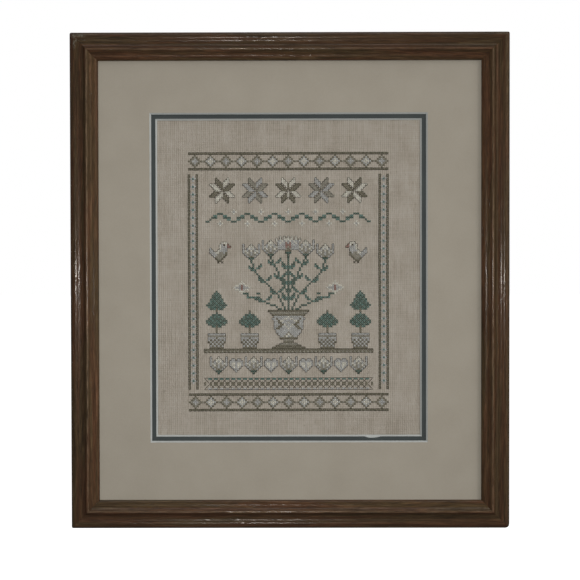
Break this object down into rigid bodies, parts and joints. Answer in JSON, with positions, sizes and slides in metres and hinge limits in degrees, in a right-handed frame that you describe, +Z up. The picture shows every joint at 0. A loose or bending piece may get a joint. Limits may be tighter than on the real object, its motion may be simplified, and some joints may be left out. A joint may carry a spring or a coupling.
{
  "type": "cross-stitch needlework picture with its double mat and wood picture frame",
  "caption": "Needlework picture on ribbed cloth, stretched behind layered bevelled mats in a mitred, stained wood frame that hangs flat on a wall.",
  "frame": {"origin": "middle of the top rail's flat back face, in the plane of the wall that the picture hangs on", "axes": "+Z up along the stiles, +Y out of the back towards the wall, +X to the right as one looks at the picture; the picture faces -Y"},
  "size_m": [0.4082, 0.0175, 0.4611],
  "materials": {
    "stained_wood": "satin",
    "mat_stone": "matte",
    "mat_teal": "matte",
    "linen": "matte",
    "backing_board": "matte",
    "thread": "matte"
  },
  "bodies": {
    "root": {"frame_rail_top": "stained_wood", "frame_rail_bottom": "stained_wood", "frame_stile_left": "stained_wood", "frame_stile_right": "stained_wood", "top_mat": "mat_stone", "lower_mat": "mat_teal", "linen_ground": "linen", "backing_board": "backing_board"}
  },
  "joints": []
}
